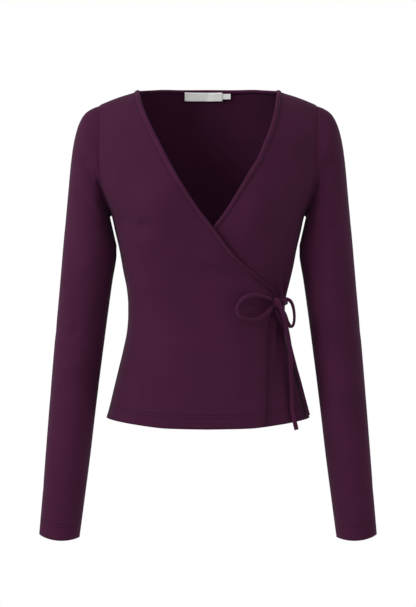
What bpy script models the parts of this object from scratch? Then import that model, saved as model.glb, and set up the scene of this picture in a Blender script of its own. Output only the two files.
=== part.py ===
"""Wrap top in soft jersey, filled out as if worn: deep V neck, long set-in sleeves, bow at the side.

Frame: +Z up, the front faces -Y and +X is the wearer's left. The origin lies between the two
high shoulder points, where the wearer's shoulders carry the garment.
Tables and lengths are in millimetres. MM turns them into Blender's metres as meshes are made.
"""

import math

import bmesh
import bpy
import numpy as np

MM = 0.001
WALL = 1.2  # jersey with its turned edges
SEAM = 0.3  # space left between two pieces at a seam
FRONT, BACK = -1, 1

# The body below and above the armholes. half_width is where the side seam runs, and above the
# armhole's foot it is the width that the chest would have with no armhole cut from it.
ROUNDNESS = 2.3
CAP = {FRONT: 150.0, BACK: 115.0}  # how far below the shoulder ridge the body reaches full depth
BODY = {
    "height": [-530, -509, -499, -468, -437, -406, -374, -351, -335, -312, -281, -250, -220, -195,
               -180, -160, -135, -100, -60, 60],
    "half_width": [161, 157, 154, 146.5, 139, 131.5, 125.2, 123.6, 123.6, 125.5, 131.5, 137, 144, 149.8,
                   158, 168, 180, 190, 193, 194],
    "front": [108, 106, 104, 98, 92, 87, 83, 82, 82, 85, 91, 97, 101, 102, 101, 100, 99, 98, 97, 96],
    "back": [107, 106, 105, 103, 99, 92, 83, 79, 78, 80, 86, 92, 97, 99, 100, 101, 100, 98, 94, 88],
}
BUST = {"across": 86.0, "height": -192.0, "proud": 19.0, "half_wide": 50.0, "half_high": 46.0}
WAIST_PULL = {"height": -342.0, "in": 4.5, "reach": 42.0}  # the bow draws the left waist in

# Lines across the garment, each as height against distance from the centre.
SHOULDER = {"across": [0, 40, 80, 111, 140, 168, 190, 215], "height": [46, 38, 13, -3, -12.5, -24, -36, -54]}
BACK_NECK = {"across": [0, 60, 92, 108], "height": [6.5, 5, 0.8, -2.2]}
HEM = {"across": [0, 60, 110, 165], "height": [-523, -522, -517, -509]}

# Lines down the garment, each as distance from the centre against height.
ARMHOLE = {"height": [-195, -180, -160, -135, -100, -60, -24], "across": [149.8, 154.5, 160, 164, 165.5, 167, 168]}
KNOT_HEIGHT = -331.0
OVER_EDGE = {
    "height": [-530, -505, -420, -372, -352, KNOT_HEIGHT, -256, -218, -189, -156, -124, -93, -61, -31, -3],
    "across": [80, 85, 86, 86, 91, 103, 36.5, 7.7, -17.3, -38.6, -56.2, -72, -88, -100.5, -108],
}
UNDER_EDGE = {
    "height": [-530, -400, -352, KNOT_HEIGHT, -272, -213, -186, -159, -131, -114, -91, -69, -45, -14, -3],
    "across": [-84, -88, -92, -100, -44, 12, 32, 48.5, 65, 75.5, 85, 94, 101, 106.5, 108],
}
BINDING = 6.0  # width of the neck binding on each face
BINDING_ALONG = 8.0  # the same width measured along a row of the front, which meets the edge at a slant
BINDING_WALL = 1.0
BINDING_GAP = 0.6  # clear of the panel's facets
BACK_END_IN = 0.07  # share of a column that the back binding stops short of the shoulder seams
LAYER = 6.0  # the over front's inner face above the under front's

# Folds, as ridges (proud over 0) or troughs, each along a straight line on the front.
UNDER_FOLDS = {
    "x0": [100, 106, 111.5, 115.5, 99, 106, 112, 117],
    "z0": [-322, -320, -322, -324, -340, -340, -340, -342],
    "x1": [84, 98, 113, 121, 96, 106, 116, 125],
    "z1": [-262, -258, -262, -268, -425, -420, -415, -420],
    "half_wide": [4, 4, 3.5, 3.5, 4, 4, 4, 4],
    "proud": [1.6, -1.8, 1.8, -1.6, 2.2, -2.4, 2.4, -2.0],
}
OVER_FOLDS = {
    "x0": [97, 95], "z0": [-322, -328], "x1": [48, 60], "z1": [-288, -318],
    "half_wide": [5, 4.5], "proud": [1.6, 1.6],
}
SLEEVE_FOLDS = {
    "x0": [200, 207, 203, 210], "z0": [-104, -150, -330, -372], "x1": [156, 158, 186, 196],
    "z1": [-196, -214, -352, -380], "half_wide": [11, 9, 12, 12], "proud": [-3.0, -1.8, -1.6, -1.4],
}

# Sleeve sections from just past the armhole to the cuff: the ends of each section's line in
# front view, half its front-to-back depth and how far forward the arm carries it.
SLEEVE = {
    "outer_x": [180, 191.5, 201, 208, 213, 216.5, 220, 224.5, 229.3, 233.5, 238, 242, 246.6, 251, 255.6, 260.6],
    "outer_z": [-29, -37, -53, -77, -108, -144, -184, -232, -290, -340, -390, -440, -500, -560, -625, -688],
    "inner_x": [152.6, 151.5, 150, 148.3, 146.3, 144.3, 142.4, 142.4, 148.7, 155.6, 162, 168.2, 175.3, 182.1, 190.3, 198.2],
    "inner_z": [-199, -204, -210, -217, -225.5, -234.5, -244, -258, -298, -348, -398, -447, -507, -567, -632, -693],
    "half_deep": [50, 50, 50, 49.5, 49, 48, 47, 46, 45, 44, 42.5, 41, 38.8, 36.5, 34, 31.5],
    "forward": [2, 2, 2, 2, 2, 2, 3, 4, 6, 8, 11, 14, 18, 22, 27, 32],
}
CUFF_DROP = 5.0  # the cuff's front and back hang this much lower than its sides
ARMHOLE_REACH = 4  # sections over which the sleeve keeps the armhole's own outline

# Grid sizes
TOP_ROWS, MIDDLE_ROWS, LOW_ROWS = 9, 6, 6
BACK_COLUMNS, OVER_COLUMNS, UNDER_COLUMNS, SLEEVE_COLUMNS = 20, 15, 12, 20
UNDER_CLOSE_COLUMNS = 12  # over the gathered stretch beside the bow
GATHERED_SHARE = 0.3
HIDDEN_ROWS = 3  # the under front's binding stops this many rows above the bow, beneath the over front

# The bow. Each stretch of strap is a route of points chosen by hand, with the way its flat side faces.
STRAP_WIDTH, STRAP_THICK = 7.0, 3.0
KNOT = {"centre": (104.8, -70.6, -332.0), "radii": (7.4, 6.8, 8.0)}
STRAPS = {
    "tie_loop_over": [
        (96.9, -75.2, -327.2, 0, -0.5, 0.9), (80, -89, -321, -0.1, -0.6, 0.8), (64, -97, -320.2, -0.3, -0.8, 0.5),
        (50, -99, -328, -0.8, -0.5, 0.2), (43.6, -99, -340, -0.9, -0.5, 0), (47.5, -99, -351.5, -0.5, -0.6, -0.6),
        (58.2, -98, -357.4, -0.1, -0.7, -0.7), (71.8, -94, -358, 0.1, -0.8, -0.6), (85.7, -86, -350.5, 0.3, -0.8, -0.5),
        (97.6, -76, -338.6, 0.3, -0.9, -0.4),
    ],
    "tie_loop_side": [
        (113.4, -67.5, -329.6, 0.2, -0.8, 0.6), (119.6, -64, -326.3, 0.2, -0.7, 0.7), (126.7, -60, -330.1, 0.7, -0.6, 0.4),
        (130.8, -56, -340, 0.9, -0.5, 0.1), (132.4, -53, -353.7, 0.9, -0.4, 0), (131, -52, -365, 0.7, -0.4, -0.5),
        (126.6, -53, -368.5, -0.1, -0.5, -0.8), (121.8, -56, -361.5, -0.6, -0.6, -0.4), (117.5, -60, -350, -0.6, -0.7, -0.3),
        (111.4, -67, -339.6, -0.6, -0.7, -0.3),
    ],
    "tie_lead_side": [
        (123, -2, -331, 1, -0.1, 0), (122.6, -16, -331, 0.9, -0.4, 0), (120.3, -32, -331.5, 0.9, -0.6, 0),
        (116.8, -48, -333, 0.8, -0.7, 0), (112.9, -60.5, -333.5, 0.7, -0.8, 0),
    ],
    "tie_tail_over": [
        (103.3, -78.2, -325, 0.1, -1, 0.3), (105.6, -79.4, -330, 0.2, -1, 0), (111.6, -78, -341, 0.3, -1, 0),
        (116.6, -73, -355.5, 0.3, -1, 0), (119.6, -68, -370, 0.2, -1, 0), (122.6, -65, -385, 0.2, -1, 0),
        (125.5, -63, -404.5, 0.1, -1, 0), (126.5, -62, -419, 0.2, -1, 0), (127.4, -64, -450, 0.4, -1, 0),
        (128, -73, -490, 0.2, -1, 0), (131, -78, -509, 0.2, -1, 0), (134.6, -78, -525, 0.2, -1, 0),
    ],
    "tie_tail_side": [
        (104.6, -64.5, -343.4, 0.4, -0.9, 0), (110.5, -57, -355, 0.5, -0.8, 0), (118.5, -51, -372, 0.6, -0.8, 0),
        (124.5, -47, -392, 0.8, -0.6, 0), (130, -43, -412, 0.9, -0.5, 0), (135.5, -40, -432, 0.9, -0.4, 0),
        (142, -39, -455, 0.9, -0.4, 0), (148.5, -40, -480, 0.9, -0.4, 0), (155, -41, -505, 0.9, -0.4, 0),
    ],
}
STRAP_STEP = 9.0
LABEL = {"across": -7.0, "top": 4.5, "width": 61.0, "height": 13.0}
SIZE_TAB = {"across": 30.3, "top": 2.5, "width": 12.5, "height": 8.0}
LABEL_WALL = 1.0
LABEL_STAND = 0.8  # clear of the binding's facets

PLUM = (0.065, 0.012, 0.050)
PLUM_DARK = (0.045, 0.008, 0.034)
WHITE = (0.85, 0.85, 0.83)


def read(table, key, column, at):
    """A table's column read smoothly at any key: a cubic through its rows that never overshoots."""
    known, values = np.array(table[key], float), np.array(table[column], float)
    at = np.clip(np.asarray(at, float), known[0], known[-1])
    gap = np.diff(known)
    rise = np.diff(values) / gap
    slope = np.concatenate([rise[:1], np.zeros(len(known) - 2), rise[-1:]])
    same_way = rise[:-1] * rise[1:] > 0
    mean = 2 * rise[:-1] * rise[1:] / np.where(same_way, rise[:-1] + rise[1:], 1)
    slope[1:-1] = np.where(same_way, mean, 0)
    i = np.clip(np.searchsorted(known, at, side="right") - 1, 0, len(gap) - 1)
    t = (at - known[i]) / gap[i]
    low = (1 + 2 * t) * (1 - t) ** 2 * values[i] + t * (1 - t) ** 2 * gap[i] * slope[i]
    high = t**2 * (3 - 2 * t) * values[i + 1] + t**2 * (t - 1) * gap[i] * slope[i + 1]
    return low + high


def ease(value, start, end):
    """0 before start, 1 after end, smooth between."""
    t = np.clip((value - start) / (end - start), 0, 1)
    return t * t * (3 - 2 * t)


def folds(table, x, z):
    """How far a table's folds lift the cloth at a point in front view."""
    lift = np.zeros_like(x)
    for i in range(len(table["x0"])):
        start = np.array([table["x0"][i], table["z0"][i]], float)
        run = np.array([table["x1"][i], table["z1"][i]], float) - start
        length = np.hypot(*run)
        along = ((x - start[0]) * run[0] + (z - start[1]) * run[1]) / length**2
        off = ((x - start[0]) * run[1] - (z - start[1]) * run[0]) / length
        fade = ease(along, -0.15, 0.1) * (1 - ease(along, 0.45, 1.1))
        lift = lift + table["proud"][i] * fade * np.exp(-((off / table["half_wide"][i]) ** 2))
    return lift


def half_width(x, z):
    pull = WAIST_PULL["in"] * np.exp(-(((z - WAIST_PULL["height"]) / WAIST_PULL["reach"]) ** 2))
    return read(BODY, "height", "half_width", z) - pull * ease(x, 0, 80)


def depth(side, x, z):
    """How far the body stands out from the plane of the side seams."""
    ratio = np.clip(np.abs(x) / half_width(x, z), 0, 1)
    round_off = (1 - ratio**ROUNDNESS) ** (1 / ROUNDNESS)
    fall = np.clip((read(SHOULDER, "across", "height", np.abs(x)) - z) / CAP[side], 0, 1)
    deep = read(BODY, "height", "front" if side == FRONT else "back", z)
    if side == FRONT:
        off = (np.abs(x) - BUST["across"]) / BUST["half_wide"], (z - BUST["height"]) / BUST["half_high"]
        deep = deep + BUST["proud"] * np.exp(-off[0] ** 2 - off[1] ** 2)
    return deep * round_off * np.sqrt(1 - (1 - fall) ** 2)


def torso(side, angle, drop):
    """A point of the body: angle is from the centre round to a side seam, at 90 degrees either way,
    and drop is 0 on the shoulder ridge and 1 at the hem."""
    x = np.zeros(np.broadcast(angle, drop).shape)
    for _ in range(8):
        top = read(SHOULDER, "across", "height", np.abs(x))
        z = top + (read(HEM, "across", "height", np.abs(x)) - top) * drop
        x = half_width(x, z) * np.sin(angle)
    return np.stack([x, side * (SEAM / 2 + depth(side, x, z)), z], -1)


def outward(side, angle, drop):
    step, edge = 1e-3, math.pi / 2 - 0.03
    angle, drop = np.clip(angle, -edge, edge), np.clip(drop, step, 1)
    round_way = torso(side, angle + step, drop) - torso(side, angle - step, drop)
    down = torso(side, angle, drop) - torso(side, angle, drop - step)
    normal = np.cross(round_way, down) * side
    return normal / np.linalg.norm(normal, axis=-1, keepdims=True)


def place(x, z):
    """The (angle, drop) of a point in front view."""
    top = read(SHOULDER, "across", "height", np.abs(x))
    drop = (top - z) / (top - read(HEM, "across", "height", np.abs(x)))
    return np.arcsin(np.clip(x / half_width(x, z), -1, 1)), drop


def drops():
    """The rows' drops: close together over the shoulder, then armhole's foot, bow and hem."""
    foot = place(ARMHOLE["across"][0], ARMHOLE["height"][0])[1]
    bow = place(OVER_EDGE["across"][5], KNOT_HEIGHT)[1]
    shoulder = foot * (np.arange(1, TOP_ROWS + 1) / TOP_ROWS) ** 1.3
    middle = np.linspace(foot, bow, MIDDLE_ROWS + 1)[1:]
    low = np.linspace(bow, 1, LOW_ROWS + 1)[1:]
    return np.concatenate([[0, 2 * BINDING / 1000], shoulder, middle, low])


def line_angles(table, rows, sign=1):
    """The angle, at each row's drop, of a line given as distance from the centre against height."""
    z = np.linspace(table["height"][0], table["height"][-1], 600)
    x = sign * read(table, "height", "across", z)
    angle, drop = place(x, z)
    order = np.argsort(drop)
    return np.interp(rows, drop[order], angle[order])


def side_angles(rows, sign):
    """The angle of a panel's outer edge: the armhole down to its foot, then the side seam."""
    foot = place(ARMHOLE["across"][0], ARMHOLE["height"][0])[1]
    return np.where(rows < foot - 1e-6, line_angles(ARMHOLE, rows, sign), sign * math.pi / 2)


def spread(points, shares, keep=0.0):
    """Points along a polyline at shares of its length, the last stretch of length keep left whole."""
    run = np.concatenate([[0], np.cumsum(np.linalg.norm(np.diff(points, axis=0), axis=1))])
    places = np.array(shares) * (run[-1] - keep)
    if keep:
        places = np.append(places, run[-1])
    return np.stack([np.interp(places, run, points[:, i]) for i in range(points.shape[1])], 1)


def over_lift(angle, point):
    clear_of_seam = ease(angle, -math.radians(80), -math.radians(50))
    return LAYER * clear_of_seam * (1 - ease(point[..., 2], -175, -70)) + folds(OVER_FOLDS, point[..., 0], point[..., 2])


def under_lift(angle, point):
    clear_of_seam = 1 - ease(angle, math.radians(80), math.radians(90))
    return clear_of_seam * folds(UNDER_FOLDS, point[..., 0], point[..., 2])


def front_panel(edge, sign, shares, lift):
    """Rows from the side seam (sign tells which) to the wrap's edge, as (row, column, xyz)."""
    rows, fine = drops(), 80
    start, end = side_angles(rows, sign), line_angles(edge, rows)
    grid = []
    for i, drop in enumerate(rows):
        angle = np.linspace(start[i], end[i], fine)
        point = torso(FRONT, angle, drop)
        point = point + outward(FRONT, angle, drop) * lift(angle, point)[:, None]
        grid.append(spread(point, shares, BINDING_ALONG))
    return np.array(grid)


def strip_drop(shares, side, rows, top):
    """The share of each column's drop that lies BINDING_ALONG below the back's top edge."""
    step = np.linspace(0, 0.03, 400)[:, None]
    drop = top + (1 - top) * step
    points = torso(BACK, shares * np.interp(drop, rows, side), drop)
    run = np.concatenate([np.zeros((1, len(shares))), np.cumsum(np.linalg.norm(np.diff(points, axis=0), axis=2), 0)])
    return np.array([np.interp(BINDING_ALONG, run[:, j], step[:, 0]) for j in range(len(shares))])


def back_panel():
    rows = drops()
    side = side_angles(rows, 1)
    neck = place(BACK_NECK["across"][-1], BACK_NECK["height"][-1])[0] / side[0]
    outer = int(BACK_COLUMNS * 0.25)
    half = np.concatenate([np.linspace(0, neck, BACK_COLUMNS // 2 - outer + 1), np.linspace(neck, 1, outer + 1)[1:]])
    shares = np.concatenate([-half[:0:-1], half])
    top = np.zeros(len(shares))
    for _ in range(8):
        at = torso(BACK, shares * np.interp(top, rows, side), top)
        inside = np.abs(shares) < neck - 1e-9
        top = np.where(inside, place(at[:, 0], read(BACK_NECK, "across", "height", np.abs(at[:, 0])))[1], 0)
    drop = top + (1 - top) * rows[:, None]
    drop[1] = top + (1 - top) * strip_drop(shares, side, rows, top)
    angle = shares * np.interp(drop, rows, side)
    return torso(BACK, angle, drop), np.flatnonzero(np.abs(shares) <= neck + 1e-9)


def armhole_loop(sign, count):
    """The armhole from its top, round the front, the foot and the back: count points."""
    fine = np.linspace(ARMHOLE["height"][-1], ARMHOLE["height"][0], 200)
    rim = []
    for side in (FRONT, BACK):
        x = read(ARMHOLE, "height", "across", fine)
        rim.append(np.stack([x, side * (SEAM / 2 + depth(side, x, fine)), fine], 1))
    half = count // 2
    front = spread(rim[0], np.arange(half + 1) / half)
    back = spread(rim[1], np.arange(half + 1) / half)
    front[0, 1] = front[-1, 1] = 0
    loop = np.concatenate([front, back[-2:0:-1]])
    foot = ease(-loop[:, 2], 70, 190)
    loop[:, 0] += SEAM + 2 * WALL * foot
    return loop * [sign, 1, 1]


def sleeve(sign):
    count = SLEEVE_COLUMNS
    turn = np.arange(count) * 2 * math.pi / count
    first = armhole_loop(sign, count)
    top, foot = first[0], first[count // 2]
    sections = [(top[0] * sign, top[2], foot[0] * sign, foot[2], (first[:, 1].max() - first[:, 1].min()) / 2, 0)]
    columns = ("outer_x", "outer_z", "inner_x", "inner_z", "half_deep", "forward")
    sections += list(zip(*(SLEEVE[name] for name in columns)))
    grid = []
    for k, (outer_x, outer_z, inner_x, inner_z, half_deep, forward) in enumerate(sections):
        middle = np.array([(outer_x + inner_x) / 2, -forward, (outer_z + inner_z) / 2])
        half_line = np.array([(outer_x - inner_x) / 2, 0, (outer_z - inner_z) / 2])
        droop = CUFF_DROP * ease(k, len(sections) - 4, len(sections) - 1)
        ring = middle + np.cos(turn)[:, None] * half_line
        ring[:, 1] -= half_deep * np.sin(turn)
        ring[:, 2] -= droop * np.sin(turn) ** 2
        if k == 0:
            keep = first * [sign, 1, 1] - ring
        ring = ring + keep * (1 - ease(k, 0, ARMHOLE_REACH))
        out = np.stack([np.cos(turn) * half_line[0], -half_deep * np.sin(turn), np.cos(turn) * half_line[2]], 1)
        out /= np.linalg.norm(out, axis=1, keepdims=True)
        front_only = ease(np.sin(turn), -0.2, 0.4)
        ring += out * (folds(SLEEVE_FOLDS, ring[:, 0], ring[:, 2]) * front_only)[:, None] * (k > 0)
        grid.append(ring * [sign, 1, 1])
    return np.array(grid)


def split(points, quad):
    """A quad as two triangles across its shorter diagonal, so that pieces on one strip fold alike."""
    a, b, c, d = quad
    if np.linalg.norm(points[a] - points[c]) <= np.linalg.norm(points[b] - points[d]):
        return [(a, b, c), (a, c, d)]
    return [(a, b, d), (b, c, d)]


def mesh_object(name, points, faces, material):
    mesh = bpy.data.meshes.new(name)
    mesh.from_pydata([tuple(p) for p in np.asarray(points) * MM], [], faces)
    mesh.materials.append(material)
    mesh.shade_smooth()
    obj = bpy.data.objects.new(name, mesh)
    bpy.data.collections["wrap_top"].objects.link(obj)
    return obj


def cloth(name, grid, material, flip=False, closed=False, wall=WALL):
    """A grid of points as a wall of cloth that grows outward from them."""
    rows, columns = grid.shape[:2]
    points = grid.reshape(-1, 3)
    faces = []
    for i in range(rows - 1):
        for j in range(columns if closed else columns - 1):
            after = (j + 1) % columns
            quad = [i * columns + j, (i + 1) * columns + j, (i + 1) * columns + after, i * columns + after]
            faces += split(points, quad[::-1] if flip else quad)
    obj = mesh_object(name, points, faces, material)
    solid = obj.modifiers.new("wall", "SOLIDIFY")
    solid.thickness = wall * MM
    solid.offset = 1
    return obj


def grid_normals(obj, grid):
    normals = np.empty(len(obj.data.vertices) * 3)
    obj.data.vertices.foreach_get("normal", normals)
    return normals.reshape(grid.shape)


def swept(name, sections, cap_quads, material, leans=None):
    """A closed solid through sections of the same number of points, capped by quads of one section.
    leans, if given, says for each stretch which diagonal its quads between even and odd points take."""
    count, around = sections.shape[:2]
    points = sections.reshape(-1, 3)
    faces = []
    for i in range(count - 1):
        for j in range(around):
            after = (j + 1) % around
            quad = [i * around + j, i * around + after, (i + 1) * around + after, (i + 1) * around + j]
            if leans is None or j % 2:
                faces += split(points, quad)
            elif leans[i] == (j in (0, 4)):
                faces += [(quad[0], quad[1], quad[2]), (quad[0], quad[2], quad[3])]
            else:
                faces += [(quad[0], quad[1], quad[3]), (quad[1], quad[2], quad[3])]
    last = (count - 1) * around
    for quad in cap_quads:
        faces += [quad[::-1], [last + j for j in quad]]
    return mesh_object(name, points, faces, material)


def binding(name, edge, inner, edge_out, inner_out, material, flip=False):
    """A folded strip over a panel's edge: edge points, the points its legs reach to, and both normals."""
    into = inner - edge
    into /= np.linalg.norm(into, axis=1, keepdims=True)
    lip = -into * BINDING_GAP
    fold = -into * (BINDING_GAP + BINDING_WALL)
    near, far = WALL + BINDING_GAP, WALL + BINDING_GAP + BINDING_WALL
    under, deep = -BINDING_GAP, -BINDING_GAP - BINDING_WALL
    section = [
        inner + inner_out * deep, edge + fold + edge_out * deep, edge + fold + edge_out * far,
        inner + inner_out * far, inner + inner_out * near, edge + lip + edge_out * near,
        edge + lip + edge_out * under, inner + inner_out * under,
    ]
    sections = np.stack(section, 1)
    caps = [(0, 1, 6, 7), (1, 2, 5, 6), (2, 3, 4, 5)]
    from_inner = np.linalg.norm(inner[:-1] - edge[1:], axis=1)
    leans = from_inner <= np.linalg.norm(inner[1:] - edge[:-1], axis=1)
    if flip:
        sections, leans = sections[::-1], ~leans[::-1]
    return swept(name, sections, caps, material, leans)


def smooth_route(route):
    """A strap's hand-chosen points joined by one smooth curve, read every STRAP_STEP."""
    points = np.array(route, float)
    ends = np.concatenate([[2 * points[0] - points[1]], points, [2 * points[-1] - points[-2]]])
    t = np.linspace(0, 1, 12, endpoint=False)[:, None]
    fine = []
    for a, b, c, d in zip(ends, ends[1:], ends[2:], ends[3:]):
        fine.append(0.5 * (2 * b + (c - a) * t + (2 * a - 5 * b + 4 * c - d) * t**2 + (3 * b - a - 3 * c + d) * t**3))
    fine = np.concatenate([*fine, points[-1:]])
    length = np.linalg.norm(np.diff(fine[:, :3], axis=0), axis=1).sum()
    run = np.concatenate([[0], np.cumsum(np.linalg.norm(np.diff(fine[:, :3], axis=0), axis=1))])
    at = np.linspace(0, length, max(4, round(length / STRAP_STEP)) + 1)
    return np.stack([np.interp(at, run, fine[:, i]) for i in range(6)], 1)


def strap(name, route, made_of):
    points = smooth_route(route)
    middle, facing = points[:, :3], points[:, 3:]
    along = np.gradient(middle, axis=0)
    across = np.cross(along, facing)
    across /= np.linalg.norm(across, axis=1, keepdims=True)
    facing = np.cross(across, along)
    facing /= np.linalg.norm(facing, axis=1, keepdims=True)
    wide, thick = across * STRAP_WIDTH / 2, facing * STRAP_THICK / 2
    sections = np.stack([middle - wide - thick, middle - wide + thick, middle + wide + thick, middle + wide - thick], 1)
    return swept(name, sections, [(0, 1, 2, 3)], made_of)


def material(name, color, roughness):
    made = bpy.data.materials.new(name)
    made.use_nodes = True
    shader = made.node_tree.nodes["Principled BSDF"]
    shader.inputs["Base Color"].default_value = (*color, 1)
    shader.inputs["Roughness"].default_value = roughness
    shader.inputs["Metallic"].default_value = 0
    return made


def clear_scene():
    for obj in list(bpy.data.objects):
        bpy.data.objects.remove(obj, do_unlink=True)
    collection = bpy.data.collections.new("wrap_top")
    bpy.context.scene.collection.children.link(collection)


def build_panels():
    over_shares = np.linspace(0, 1, OVER_COLUMNS)
    close = np.linspace(0, GATHERED_SHARE, UNDER_CLOSE_COLUMNS + 1)
    under_shares = np.concatenate([close, np.linspace(GATHERED_SHARE, 1, UNDER_COLUMNS)[1:]])
    over = front_panel(OVER_EDGE, -1, over_shares, over_lift)
    under = front_panel(UNDER_EDGE, 1, under_shares, under_lift)
    back, neck = back_panel()
    over_obj = cloth("front_over", over, material("jersey_over", PLUM, 0.8))
    under_obj = cloth("front_under", under, material("jersey_under", PLUM, 0.8), flip=True)
    back_obj = cloth("back", back, material("jersey_back", PLUM, 0.8), flip=True)
    bow_row = 1 + TOP_ROWS + MIDDLE_ROWS + 1
    sides = (("over", over, over_obj, False, bow_row), ("under", under, under_obj, True, bow_row - HIDDEN_ROWS))
    for name, grid, obj, flip, last_row in sides:
        out = grid_normals(obj, grid)
        out[0, :, 1] = 0
        strip = slice(0, last_row)
        binding("binding_" + name, grid[strip, -1], grid[strip, -2], out[strip, -1], out[strip, -2],
                material("binding_" + name, PLUM_DARK, 0.75), flip)
    strip = np.stack([back[0, neck], back[1, neck], *grid_normals(back_obj, back)[:2, neck]])
    strip[:, 0] += (strip[:, 1] - strip[:, 0]) * BACK_END_IN
    strip[:, -1] += (strip[:, -2] - strip[:, -1]) * BACK_END_IN
    binding("binding_back", *strip, material("binding_back", PLUM_DARK, 0.75), True)


def build_sleeves():
    for name, sign in (("sleeve_right", -1), ("sleeve_left", 1)):
        cloth(name, sleeve(sign), material("jersey_" + name, PLUM, 0.8), flip=sign < 0, closed=True)


def build_bow():
    for name, route in STRAPS.items():
        strap(name, route, material(name, PLUM, 0.75))
    ball = bmesh.new()
    bmesh.ops.create_uvsphere(ball, u_segments=16, v_segments=10, radius=1)
    bmesh.ops.scale(ball, vec=[r * MM for r in KNOT["radii"]], verts=ball.verts)
    mesh = bpy.data.meshes.new("tie_knot")
    ball.to_mesh(mesh)
    ball.free()
    mesh.materials.append(material("tie_knot", PLUM, 0.75))
    mesh.shade_smooth()
    knot = bpy.data.objects.new("tie_knot", mesh)
    knot.location = [c * MM for c in KNOT["centre"]]
    bpy.data.collections["wrap_top"].objects.link(knot)


def label(name, place_at):
    """A plain woven label, laid on the inside of the back below its neck edge."""
    x = place_at["across"] + place_at["width"] * np.linspace(-0.5, 0.5, 7)
    z = place_at["top"] - place_at["height"] * np.linspace(0, 1, 3)
    x, z = np.meshgrid(x, z)
    angle, drop = place(x, z)
    clear = BINDING_GAP + BINDING_WALL + LABEL_STAND
    inside = torso(BACK, angle, drop) - outward(BACK, angle, drop) * clear
    cloth(name, inside, material(name, WHITE, 0.7), wall=LABEL_WALL)


clear_scene()
build_panels()
build_sleeves()
build_bow()
label("label_main", LABEL)
label("label_size", SIZE_TAB)
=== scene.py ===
"""Wrap top in plum jersey: the visible cloth, bindings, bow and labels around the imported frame.

The tables and lengths of the garment are in millimetres. MM turns them into metres.
"""

import math

import bpy
import numpy as np
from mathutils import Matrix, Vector


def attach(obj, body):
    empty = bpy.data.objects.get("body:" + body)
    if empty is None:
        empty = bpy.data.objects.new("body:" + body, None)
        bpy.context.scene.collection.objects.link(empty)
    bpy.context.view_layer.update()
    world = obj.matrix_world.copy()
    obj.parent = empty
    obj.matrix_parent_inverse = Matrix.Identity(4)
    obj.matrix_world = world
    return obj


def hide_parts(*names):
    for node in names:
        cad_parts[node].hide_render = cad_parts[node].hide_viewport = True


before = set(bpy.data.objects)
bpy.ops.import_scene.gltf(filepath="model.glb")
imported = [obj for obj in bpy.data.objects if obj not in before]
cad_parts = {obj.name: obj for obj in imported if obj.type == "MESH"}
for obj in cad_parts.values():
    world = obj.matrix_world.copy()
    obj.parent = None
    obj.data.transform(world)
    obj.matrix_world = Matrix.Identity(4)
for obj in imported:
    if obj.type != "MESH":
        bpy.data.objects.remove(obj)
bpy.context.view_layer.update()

bl_info = {
    "name": "Wrap top",
    "version": (1, 0, 0),
    "blender": (4, 5, 0),
    "location": "3D View > Sidebar > Wrap top",
    "description": "Builds a jersey wrap top with its bow, bindings and stage",
    "category": "Object",
}

MM = 0.001
WALL = 0.9  # the jersey's own thickness
SEAM = 0.3
FRONT, BACK = -1, 1

# The body below and above the armholes. half_width is where the side seam runs, and above the
# armhole's foot it is the width that the chest would have with no armhole cut from it.
ROUNDNESS = 2.3
CAP = {FRONT: 150.0, BACK: 115.0}  # how far below the shoulder ridge the body reaches full depth
BODY = {
    "height": [-530, -509, -499, -468, -437, -406, -374, -351, -335, -312, -281, -250, -220, -195,
               -180, -160, -135, -100, -60, 60],
    "half_width": [161, 157, 154, 146.5, 139, 131.5, 125.2, 123.6, 123.6, 125.5, 131.5, 137, 144, 149.8,
                   158, 168, 180, 190, 193, 194],
    "front": [108, 106, 104, 98, 92, 87, 83, 82, 82, 85, 91, 97, 101, 102, 101, 100, 99, 98, 97, 96],
    "back": [107, 106, 105, 103, 99, 92, 83, 79, 78, 80, 86, 92, 97, 99, 100, 101, 100, 98, 94, 88],
}
BUST = {"across": 86.0, "height": -192.0, "proud": 19.0, "half_wide": 50.0, "half_high": 46.0}
WAIST_PULL = {"height": -342.0, "in": 4.5, "reach": 42.0}  # the bow draws the left waist in

# Lines across the garment, each as height against distance from the centre.
SHOULDER = {"across": [0, 40, 80, 111, 140, 168, 190, 215], "height": [46, 38, 13, -3, -12.5, -24, -36, -54]}
BACK_NECK = {"across": [0, 60, 92, 108], "height": [6.5, 5, 0.8, -2.2]}
HEM = {"across": [0, 60, 110, 165], "height": [-523, -522, -517, -509]}

# Lines down the garment, each as distance from the centre against height.
ARMHOLE = {
    "height": [-195, -180, -160, -135, -100, -60, -24],
    "across": [149.8, 154.5, 160, 164, 165.5, 167, 168],
}
KNOT_HEIGHT = -331.0
OVER_EDGE = {
    "height": [-530, -505, -420, -372, -352, KNOT_HEIGHT, -256, -218, -189, -156, -124, -93, -61, -31, -3],
    "across": [80, 85, 86, 86, 91, 103, 36.5, 7.7, -17.3, -38.6, -56.2, -72, -88, -100.5, -108],
}
UNDER_EDGE = {
    "height": [-530, -400, -352, KNOT_HEIGHT, -272, -213, -186, -159, -131, -114, -91, -69, -45, -14, -3],
    "across": [-84, -88, -92, -100, -44, 12, 32, 48.5, 65, 75.5, 85, 94, 101, 106.5, 108],
}
BINDING = 6.0  # width of the neck binding on each face
LAYER = 6.0  # the over front's inner face above the under front's

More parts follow.
